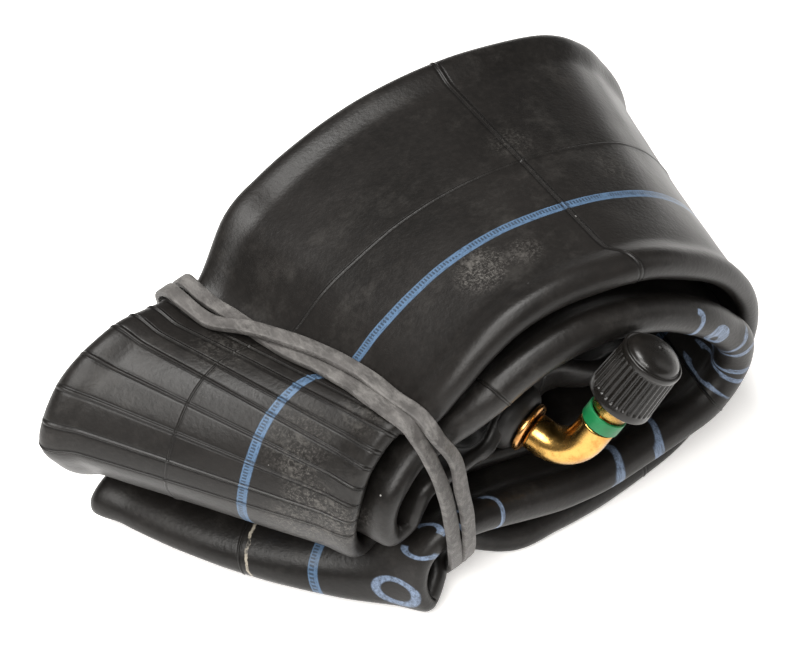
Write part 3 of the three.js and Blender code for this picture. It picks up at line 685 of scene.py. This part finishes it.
def turned_grid(profile, segments, shape=None):
    """Rings of a turned piece from [radius, height] rows; shape may change a ring's radii."""
    angle = np.arange(segments) / segments * 2 * math.pi
    rings = []
    for radius, height in profile:
        radii = np.full(segments, float(radius))
        if shape:
            radii = shape(radii, height, angle)
        heights = np.full(segments, float(height))
        rings.append(np.stack([radii * np.cos(angle), radii * np.sin(angle), heights], -1))
    return np.array(rings)


def softened(corners, radius):
    """A closed outline of [radius, height] corners with each corner rounded off."""
    points = []
    count = len(corners)
    for k in range(count):
        corner = np.array(corners[k], float)
        back = np.array(corners[k - 1], float) - corner
        on = np.array(corners[(k + 1) % count], float) - corner
        cut = min(radius, 0.45 * np.linalg.norm(back), 0.45 * np.linalg.norm(on))
        start, end = corner + unit(back) * cut, corner + unit(on) * cut
        for s in np.linspace(0, 1, 4):
            points.append((1 - s) ** 2 * start + 2 * s * (1 - s) * corner + s**2 * end)
    return points


def ring_piece(name, corners, place, radius, segments=72):
    """A turned piece whose outline closes on itself clear of the axis."""
    return outward(grid_mesh(name, place(turned_grid(softened(corners, radius), segments))))


STEM_END = 19.4
THREAD_FROM = 12.0
THREAD_PITCH = 0.794


def build_stem(brass):
    """Bent stem with a flanged foot, a threaded end and the core's bore."""
    outer = [(-3.9, 2.1), (-1.9, 2.1), (-1.9, 3.5), (-1.8, 3.6), (-1.5, 3.6), (-1.4, 3.5)]
    outer += [(-1.4, 2.1), (0.66, 2.1), (0.7, 2.45), (0.78, 2.67), (1.0, 2.8)]
    outer += [(d, 2.8) for d in np.linspace(1.4, on_leg(7.2), 44)]
    outer += [(on_leg(7.28), 2.74), (on_leg(7.32), 2.35), (on_leg(10.08), 2.35), (on_leg(10.12), 2.74)]
    outer += [(on_leg(10.2), 2.8), (on_leg(11.8), 2.8), (on_leg(11.9), 2.95)]
    threads = np.arange(THREAD_FROM, STEM_END - 0.05, THREAD_PITCH / 8)
    outer += [(on_leg(h), 0.0) for h in threads]
    outer += [(on_leg(STEM_END), 3.15), (on_leg(STEM_END), 2.4)]
    inner = [(on_leg(STEM_END - 0.15), 2.3), (on_leg(13.2), 2.3), (on_leg(13.1), 1.9), (on_leg(5.6), 1.9)]
    inner += [(on_leg(5.1), 1.2)] + [(d, 1.2) for d in np.linspace(BEND_END, BEND_START, 12)] + [(-3.9, 1.2)]
    rows = np.array(outer + inner)
    segments = 64
    angle = np.arange(segments) / segments * 2 * math.pi
    point, side = along_stem(rows[:, 0])
    radii = np.repeat(rows[:, 1:], segments, axis=1)
    for k, (distance, radius) in enumerate(rows):
        if radius == 0:
            height = distance - BEND_END + BEND_REACH
            phase = (height / THREAD_PITCH - angle / (2 * math.pi)) % 1
            depth = np.clip(1.35 * np.abs(2 * phase - 1) - 0.15, 0, 1)
            ease = min(1, (height - THREAD_FROM) / 0.5, (STEM_END - height) / 0.9)
            radii[k] = 3.3 + 0.43 * (1 - depth) * max(ease, 0)
    grid = point[:, None] + radii[:, :, None] * (
        np.cos(angle)[None, :, None] * side[:, None] + np.sin(angle)[None, :, None] * np.array([0, 1.0, 0]))
    stem = outward(grid_mesh("bent_valve_stem", on_lower(grid)))
    dress(stem, "root", brass, "brass", "valve_stem")


FLUTES = 32
CAP_BORE = 4.06     # radius at the root of the cap's inside thread


def fluted(radii, height, angle):
    """Flutes between plain ribs, which run out at the base ring and under the rim."""
    fade = np.clip((height - 13.8) / 0.3, 0, 1) * np.clip((20.5 - height) / 0.3, 0, 1)
    wave = np.clip(0.5 + 1.1 * np.cos(FLUTES * angle), 0, 1)
    return radii - 0.3 * fade * wave * (radii > 4.2)


def grip_radius(height):
    """The cap's grip narrows a little from its base ring up to its rim."""
    return 4.98 - 0.3 * (height - 13.75) / 6.85


def build_cap(plastic):
    """Dust cap: plain base ring, fluted grip, a rim with a groove and a smooth dome."""
    profile = [(4.15, 12.6), (4.9, 12.6), (5.01, 12.66), (5.05, 12.78)]
    profile += [(5.04, 13.4), (5.0, 13.6), (4.98, 13.75)]
    profile += [(grip_radius(h), h) for h in np.linspace(13.8, 20.5, 40)]
    profile += [(4.68, 20.58), (4.73, 20.66), (4.75, 20.8), (4.75, 21.2), (4.7, 21.36), (4.58, 21.44)]
    profile += [(4.44, 21.42), (4.34, 21.32), (4.26, 21.32), (4.18, 21.42)]
    dome = np.linspace(0.06, math.pi / 2 - 0.02, 18)
    profile += [(4.12 * math.cos(a), 21.46 + 1.8 * math.sin(a)) for a in dome]
    profile += [(0.01, 20.65), (3.95, 20.65), (4.05, 20.5)]
    threads = np.arange(19.0, 13.4, -THREAD_PITCH / 8)
    profile += [(CAP_BORE, h) for h in threads]
    profile += [(4.1, 13.0)]

    def inside(radii, height, angle):
        radii = fluted(radii, height, angle)
        phase = (height / THREAD_PITCH - angle / (2 * math.pi)) % 1
        crest = 0.22 * np.clip(1 - np.abs(2 * phase - 1) * 1.6, 0, 1)
        return np.where(radii == CAP_BORE, CAP_BORE - crest, radii)

    grid = turned_grid(profile, FLUTES * 8, inside)
    cap = outward(grid_mesh("dust_cap", on_upper(grid)))
    dress(cap, "cap", plastic, "cap_plastic", "valve_cap")


def build_patch(rubber):
    """Moulded disc round the foot of the stem, feathered out where it meets the tube."""
    corners = [(2.15, -3.7), (5.2, -3.6), (5.15, -2.3), (4.6, -1.25), (3.9, -0.72), (2.15, -0.7)]
    patch = ring_piece("valve_patch_moulding", corners, on_lower, 0.35)
    dress(patch, "root", rubber, "patch_rubber", "valve_patch")


def build_washer(metal):
    corners = [(2.12, -0.4), (3.9, -0.4), (3.9, 0.15), (3.6, 0.4), (2.12, 0.4)]
    washer = ring_piece("stem_washer", corners, on_lower, 0.14)
    dress(washer, "root", metal, "washer_metal", "valve_washer")


def build_colour_ring(green):
    corners = [(2.65, 7.6), (3.05, 7.6), (3.05, 9.8), (2.65, 9.8)]
    ring = ring_piece("green_ring", corners, on_upper, 0.1)
    dress(ring, "root", green, "green_ring", "colour_ring")


def build_core(brass, seal, steel):
    """Valve core: barrel, its seal, the pin with collar and foot, the cup and the spring."""
    barrel = ring_piece("core_barrel_plug", [
        (0.65, 8.4), (1.4, 8.4), (1.4, 14.2), (2.1, 14.2), (2.1, 18.4), (1.75, 18.8),
        (1.05, 18.8), (1.05, 9.2), (0.65, 9.2)], on_upper, 0.1, 48)
    dress(barrel, "root", brass, "brass", "core_barrel")
    collar = ring_piece("core_collar_seal", [
        (1.45, 10.6), (1.8, 10.6), (1.7, 12.4), (1.45, 12.4)], on_upper, 0.1, 48)
    dress(collar, "root", seal, "seal_rubber", "core_seal")
    pin_rows = [
        (0.005, 6.8), (0.72, 6.8), (0.8, 6.9), (0.8, 7.2), (0.42, 7.22), (0.42, 14.6),
        (0.8, 14.62), (0.85, 14.7), (0.85, 14.9), (0.8, 15.0), (0.42, 15.02), (0.42, 18.8),
        (0.38, 18.92), (0.28, 19.0), (0.005, 19.0)]
    pin = outward(grid_mesh("core_pin_rod", on_upper(turned_grid(pin_rows, 32))))
    dress(pin, "plunger", steel, "spring_steel", "core_pin")
    cup = ring_piece("core_cup_seal", [(0.5, 7.3), (1.3, 7.3), (1.3, 8.1), (0.5, 8.1)], on_upper, 0.12, 40)
    dress(cup, "plunger", seal, "seal_rubber", "core_cup")
    disc_rows = [(0.005, 19.7), (3.7, 19.7), (3.8, 19.8), (3.8, 20.2), (3.7, 20.3), (0.005, 20.3)]
    disc = outward(grid_mesh("cap_gasket_disc", on_upper(turned_grid(disc_rows, 64))))
    dress(disc, "cap_thread", seal, "seal_rubber", "cap_gasket")
    build_spring(steel)


def build_spring(steel):
    """Coil between the barrel's lip and the pin's collar."""
    turns, low, high, coil, wire = 5, 9.4, 14.4, 0.74, 0.12
    angle = np.linspace(0, turns * 2 * math.pi, turns * 32)
    out = np.stack([np.cos(angle), np.sin(angle), 0 * angle], -1)
    height = np.linspace(low, high, len(angle))
    round_wire = np.arange(10) / 10 * 2 * math.pi
    grid = out[:, None] * (coil + wire * np.cos(round_wire))[None, :, None]
    grid[:, :, 2] = height[:, None] + wire * np.sin(round_wire)[None, :]
    ends = [np.repeat(grid[k].mean(axis=0)[None], 10, axis=0)[None] for k in (0, -1)]
    grid = np.concatenate([ends[0], grid, ends[1]])
    spring = outward(grid_mesh("core_spring_coil", on_upper(grid), False))
    dress(spring, "root", steel, "spring_steel", "core_spring")
    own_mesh(spring)


# ---------- rubber band ----------

# The band goes round the roll's waist twice and crosses itself on top.
BAND_ROUTE = [
    # first turn, far side to near side over the top, down, under and up again
    [-29, 20.4, 35.5], [-27.6, 14.7, 35.5], [-24.3, 9.5, 36.9], [-20.6, 3.5, 37.5],
    [-18.3, -1.7, 38.2], [-16, -8.8, 38.8], [-15, -15.1, 39.2], [-13.9, -20.8, 39.6],
    [-13.3, -23.7, 37.8], [-11.1, -24.7, 32.7], [-10.6, -25.5, 26.8], [-9.9, -25.7, 21.3],
    [-9.6, -25.6, 15.2], [-8.8, -23.7, 10], [-8.2, -20.7, 5.4], [-7.4, -18.4, 2.2],
    [-7.6, -15.7, 0.9], [-8.8, -12.9, 0.8], [-15.8, 4.7, 0.8], [-23.5, 23.7, 0.7],
    [-24.9, 28.1, 0.9], [-25.5, 30.3, 2.6], [-24.9, 31.1, 11.5], [-24.1, 30.4, 21.5],
    [-25, 28.9, 27.7], [-25.7, 27.9, 31.2],
    # second turn, under the first where they cross
    [-26, 24.9, 34.1], [-25.4, 20.3, 34.1], [-24, 14.7, 34.5], [-23, 9.2, 35.4],
    [-21.8, 3.7, 36.1], [-19.3, -3.9, 37.2], [-18, -8.9, 37.7], [-17.2, -15, 38.8],
    [-16.2, -20.5, 39.2], [-15.4, -22.4, 37], [-14.3, -24.1, 33], [-13.2, -25.1, 27.5],
    [-12.6, -25.7, 21.5], [-12.1, -25.7, 15.5], [-11, -24.1, 10.5], [-9.7, -22, 6.8],
    [-9.4, -19.2, 2.8], [-10.6, -16.3, 0.9], [-11.9, -12.9, 0.8], [-18.9, 4.7, 0.8],
    [-26.7, 23.5, 0.7], [-28.2, 27.1, 0.9], [-28.8, 29.9, 2.8], [-28.5, 30.7, 11.5],
    [-27.9, 29.9, 21.5], [-28.6, 27.7, 28.6], [-29.2, 26.5, 32.4], [-29.3, 23.8, 35],
]
BAND_WIDTH = 2.4
BAND_THICKNESS = 1.0
# inside the folds, along the strands' common width; the strip's flat side faces away from it
WAIST = np.array([[-12.5, -13.5, 19.5], [-24.2, 18.5, 18.5]])
ALONG_STRANDS = np.array([-0.94, -0.342, 0])


def between(low, high, from_knot, to_knot, t):
    """Straight blend of two points, reached at their knots."""
    return low * (to_knot - t) / (to_knot - from_knot) + high * (t - from_knot) / (to_knot - from_knot)


def centripetal(points, per_span):
    """Closed centripetal Catmull-Rom through the points."""
    points = np.array(points, float)
    count = len(points)
    found = []
    for k in range(count):
        p = [points[(k + m) % count] for m in (-1, 0, 1, 2)]
        knots = [0.0]
        for m in range(3):
            knots.append(knots[-1] + math.sqrt(np.linalg.norm(p[m + 1] - p[m])))
        for s in np.arange(per_span) / per_span:
            t = knots[1] + (knots[2] - knots[1]) * s
            first, second, third = [between(p[m], p[m + 1], knots[m], knots[m + 1], t) for m in range(3)]
            left = between(first, second, knots[0], knots[2], t)
            right = between(second, third, knots[1], knots[3], t)
            found.append(between(left, right, knots[1], knots[2], t))
    return np.array(found)


def build_band(elastic):
    """One flat elastic band, doubled, with rounded edges and a slightly uneven width."""
    route = centripetal(BAND_ROUTE, 10)
    tangent = unit(np.roll(route, -1, axis=0) - np.roll(route, 1, axis=0))
    start, end = WAIST
    share = np.clip((route - start) @ (end - start) / ((end - start) @ (end - start)), 0, 1)
    away = route - start - share[:, None] * (end - start)
    away -= (away @ ALONG_STRANDS)[:, None] * ALONG_STRANDS
    across = unit(np.cross(tangent, away))
    out = np.cross(across, tangent)
    half_width, half_thick, power = BAND_WIDTH / 2, BAND_THICKNESS / 2, 0.28
    angle = np.arange(28) / 28 * 2 * math.pi
    a = np.sign(np.cos(angle)) * np.abs(np.cos(angle)) ** power * half_width
    b = np.sign(np.sin(angle)) * np.abs(np.sin(angle)) ** power * half_thick
    run = np.arange(len(route)) / len(route) * 2 * math.pi
    uneven = 1 - 0.05 * (1 + np.sin(run * 31) * np.sin(run * 17 + 1))
    grid = route[:, None] + (a[None, :] * uneven[:, None])[:, :, None] * across[:, None]
    grid = grid + b[None, :, None] * out[:, None]
    grid[:, :, 2] = np.maximum(grid[:, :, 2], 0)
    band = outward(grid_mesh("elastic_band", grid))
    dress(band, "root", elastic, "band_rubber", "rubber_band")


# ---------- the object ----------

brass = make_metal("brass", rgb(0.5, 0.3, 0.085), rgb(0.36, 0.18, 0.045), 0.2, 0.34)
copper = make_metal("washer metal", rgb(0.5, 0.26, 0.09), rgb(0.3, 0.14, 0.045), 0.22, 0.38)
steel = make_metal("pin steel", rgb(0.66, 0.66, 0.68), rgb(0.4, 0.4, 0.42), 0.22, 0.36)
seal = make_rubber("seal rubber", rgb(0.012, 0.011, 0.01), rgb(0.026, 0.024, 0.022), 0.6)
patch_rubber = make_rubber("patch rubber", rgb(0.004, 0.0036, 0.0032), rgb(0.008, 0.007, 0.0064), 0.5)
cap_plastic = make_plastic("cap plastic", rgb(0.005, 0.0044, 0.0038), rgb(0.01, 0.0085, 0.0075), 0.3)
green = make_plastic("green ring plastic", rgb(0.003, 0.1, 0.03), rgb(0.01, 0.17, 0.06), 0.42)

build_tube()
build_patch(patch_rubber)
build_stem(brass)
build_washer(copper)
build_colour_ring(green)
build_cap(cap_plastic)
build_core(brass, seal, steel)
build_band(make_elastic())


# ---------- floor, light and camera ----------

def build_floor():
    """A wide white floor, bright enough to read as plain paper."""
    paint = Paint("paper white", Roughness=0.9, Specular_IOR_Level=0.2, Emission_Strength=0.4)
    paint.set("Emission Color", rgb(1, 0.975, 0.95))
    fibre = paint.noise(8, 3, 0.5)
    paint.set("Base Color", paint.mix(fibre, rgb(0.93, 0.925, 0.92), rgb(0.96, 0.957, 0.953)))
    reach = 4000.0
    sides = 96
    angle = np.arange(sides) / sides * 2 * math.pi
    rim = np.stack([np.cos(angle), np.sin(angle), 0 * angle], -1)
    rings = np.array([rim * r for r in (1.0, 60.0, 240.0, reach)])
    floor = grid_mesh("floor", rings, False)
    floor.location.z = -0.00005     # just clear of the tube's underside
    floor.data.materials.append(paint.material)


def add_light(name, place, aim, size, power, color):
    """A soft rectangular light aimed at a point."""
    light = bpy.data.lights.new(name, "AREA")
    light.shape = "RECTANGLE"
    light.size, light.size_y = size
    light.energy = power
    light.color = color
    lamp = bpy.data.objects.new(name, light)
    lamp.location = place
    lamp.rotation_euler = (Vector(aim) - Vector(place)).to_track_quat("-Z", "Y").to_euler()
    bpy.context.scene.collection.objects.link(lamp)


def build_camera():
    """A long lens from 50 degrees up, 33 degrees round to the left."""
    back = Vector((-0.3501, -0.5391, 0.7660)).normalized()
    right = Vector((0, 0, 1)).cross(back).normalized()
    up = back.cross(right)
    aim = Vector((0.0019, -0.0213, 0.0018))
    distance = 0.52
    position = aim + back * distance
    tilt_right, tilt_up, focal = -0.03419, 0.06396, 4.404
    ahead = (-back + tilt_right * right + tilt_up * up).normalized()
    right = (right - right.dot(ahead) * ahead).normalized()
    up = right.cross(ahead)
    data = bpy.data.cameras.new("Camera")
    data.sensor_width = 36
    data.lens = 36 * focal
    data.clip_start, data.clip_end = 0.01, 20
    camera = bpy.data.objects.new("Camera", data)
    turn = Matrix((right, up, -ahead)).transposed().to_4x4()
    camera.matrix_world = Matrix.Translation(position) @ turn
    bpy.context.scene.collection.objects.link(camera)
    bpy.context.scene.camera = camera


def build_light():
    world = bpy.data.worlds.new("Studio")
    world.use_nodes = True
    background = world.node_tree.nodes["Background"]
    background.inputs["Color"].default_value = rgb(1.0, 0.985, 0.965)
    background.inputs["Strength"].default_value = 0.2
    bpy.context.scene.world = world
    centre = (0, 0, 0.02)
    add_light("Key", (-0.35, -0.25, 0.55), centre, (0.45, 0.35), 6.5, (1, 0.985, 0.96))
    add_light("Above", (-0.15, 0.1, 0.75), centre, (0.3, 0.3), 7, (1, 0.99, 0.97))
    add_light("Right", (0.6, -0.25, 0.3), centre, (0.3, 0.5), 0.6, (1, 0.98, 0.95))
    bpy.context.scene.view_settings.view_transform = "Standard"


build_floor()
build_light()
build_camera()
